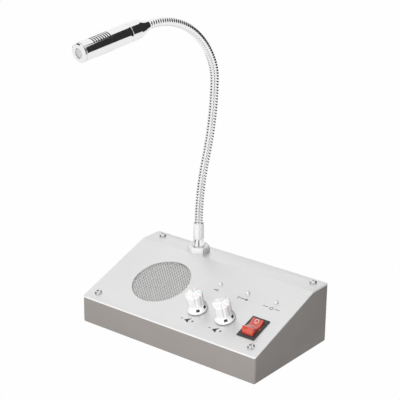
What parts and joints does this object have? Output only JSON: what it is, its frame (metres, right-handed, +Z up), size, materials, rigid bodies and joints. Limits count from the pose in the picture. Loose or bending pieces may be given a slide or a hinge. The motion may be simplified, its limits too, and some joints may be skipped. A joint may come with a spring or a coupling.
{
  "type": "teller window intercom",
  "caption": "Sloped desk intercom base with round speaker grille, volume knobs, lamps and rocker switch, and a slim microphone on a bending gooseneck.",
  "frame": {"origin": "middle of the whole object's outline seen from above, neck and head included, on the plane that the feet stand on", "axes": "+X to the user's right, +Y to the rear, away from the user, +Z up"},
  "size_m": [0.1616, 0.1378, 0.2389],
  "materials": {
    "tray_paint": "satin powder coat, warm taupe grey",
    "panel_metal": "fine bead-blasted silver, satin",
    "zinc_steel": "bright zinc plate",
    "rubber": "matt moulded rubber",
    "foam": "matt closed-cell foam",
    "grille_metal": "satin grey coat on perforated sheet",
    "cone_paper": "matt pressed paper",
    "copper": "enamelled copper wire, glossy",
    "ferrite": "matt sintered ferrite",
    "white_plastic": "smooth moulded plastic, semi-gloss",
    "shaft_metal": "turned, plain",
    "clear_lens": "clear cast resin, polished",
    "black_plastic": "fine-textured moulded nylon, satin",
    "red_plastic": "translucent moulded plastic, polished",
    "brass": "plain rolled strip",
    "circuit_board": "solder mask over glass laminate, satin",
    "capacitor_sleeve": "shrunk sleeve, glossy",
    "cream_plastic": "natural nylon, satin",
    "chrome": "polished chrome plate",
    "coil_steel": "wound wire, bright chrome plate",
    "mesh_steel": "fine woven wire, matt",
    "capsule_metal": "drawn can, plain"
  },
  "bodies": {
    "base": {"base_tray": "tray_paint", "board_capacitors": "capacitor_sleeve", "board_chips": "black_plastic", "board_plugs": "cream_plastic", "board_screws": "zinc_steel", "board_standoffs": "zinc_steel", "corner_brackets": "zinc_steel", "jack_nuts": "chrome", "lamp_1": "clear_lens", "lamp_2": "clear_lens", "lamp_3": "clear_lens", "lamp_holders": "black_plastic", "main_board": "circuit_board", "neck_base": "coil_steel", "neck_ferrule": "chrome", "neck_lock_nut": "zinc_steel", "neck_nut": "chrome", "neck_stud": "zinc_steel", "neck_washer": "zinc_steel", "outside_jack": "black_plastic", "panel_screws": "zinc_steel", "pot_body_left": "zinc_steel", "pot_body_right": "zinc_steel", "pot_nuts": "zinc_steel", "pot_washers": "zinc_steel", "power_jack": "black_plastic", "power_nut": "chrome", "record_jack": "black_plastic", "rubber_feet": "rubber", "speaker_basket": "zinc_steel", "speaker_cone": "cone_paper", "speaker_gasket": "foam", "speaker_grille": "grille_metal", "speaker_magnet": "ferrite", "speaker_nuts": "zinc_steel", "speaker_studs": "zinc_steel", "speaker_yoke": "zinc_steel", "switch_body": "black_plastic", "switch_terminals": "brass", "top_panel": "panel_metal", "voice_coil": "copper"},
    "knob_left_body": {"knob_left": "white_plastic", "pot_shaft_left": "shaft_metal"},
    "knob_right_body": {"knob_right": "white_plastic", "pot_shaft_right": "shaft_metal"},
    "rocker_body": {"rocker": "red_plastic"},
    "neck_body_1": {"neck_1": "coil_steel"},
    "neck_body_2": {"neck_2": "coil_steel"},
    "neck_body_3": {"neck_3": "coil_steel"},
    "neck_body_4": {"neck_4": "coil_steel"},
    "neck_body_5": {"neck_5": "coil_steel"},
    "neck_body_6": {"neck_6": "coil_steel"},
    "neck_body_7": {"neck_7": "coil_steel"},
    "microphone": {"neck_top": "coil_steel", "mic_barrel": "chrome", "mic_capsule": "capsule_metal", "mic_cone": "chrome", "mic_end_cap": "chrome", "mic_holder": "rubber", "mic_mesh": "mesh_steel"}
  },
  "joints": [
    {"name": "knob_left_turn", "type": "hinge", "parent": "base", "child": "knob_left_body", "pos_m": [0.0118, -0.00472, 0.0295], "axis": [0, -0.3401, 0.9404], "range_deg": [-150, 150]},
    {"name": "knob_right_turn", "type": "hinge", "parent": "base", "child": "knob_right_body", "pos_m": [0.03705, -0.00472, 0.0295], "axis": [0, -0.3401, 0.9404], "range_deg": [-150, 150]},
    {"name": "rocker_tip", "type": "hinge", "parent": "base", "child": "rocker_body", "pos_m": [0.0623, -0.00525, 0.03038], "axis": [1, 0, 0], "range_deg": [0, 24]},
    {"name": "neck_1_sideways", "type": "hinge", "parent": "base", "child": "neck_body_1", "pos_m": [-0.03146, 0.05092, 0.08369], "axis": [0.0939, 0.9932, -0.0694], "range_deg": [-15, 15]},
    {"name": "neck_2_nod", "type": "hinge", "parent": "neck_body_1", "child": "neck_body_2", "pos_m": [-0.03112, 0.05453, 0.10961], "axis": [0.9956, -0.0941, 0], "range_deg": [-15, 20]},
    {"name": "neck_3_sideways", "type": "hinge", "parent": "neck_body_2", "child": "neck_body_3", "pos_m": [-0.03053, 0.06078, 0.13504], "axis": [0.092, 0.9735, -0.2096], "range_deg": [-15, 15]},
    {"name": "neck_4_nod", "type": "hinge", "parent": "neck_body_3", "child": "neck_body_4", "pos_m": [-0.03015, 0.06471, 0.16092], "axis": [0.9956, -0.0941, 0], "range_deg": [-25, 20]},
    {"name": "neck_5_sideways", "type": "hinge", "parent": "neck_body_4", "child": "neck_body_5", "pos_m": [-0.03011, 0.06517, 0.18706], "axis": [0.0929, 0.9826, 0.1607], "range_deg": [-15, 15]},
    {"name": "neck_6_nod", "type": "hinge", "parent": "neck_body_5", "child": "neck_body_6", "pos_m": [-0.03118, 0.05386, 0.21036], "axis": [0.9956, -0.0941, 0], "range_deg": [-30, 12]},
    {"name": "neck_7_sideways", "type": "hinge", "parent": "neck_body_6", "child": "neck_body_7", "pos_m": [-0.03307, 0.03384, 0.22685], "axis": [0.0435, 0.4598, 0.8869], "range_deg": [-15, 15]},
    {"name": "neck_8_nod", "type": "hinge", "parent": "neck_body_7", "child": "microphone", "pos_m": [-0.03543, 0.00891, 0.23388], "axis": [0.9956, -0.0941, 0], "range_deg": [-30, 15]}
  ]
}
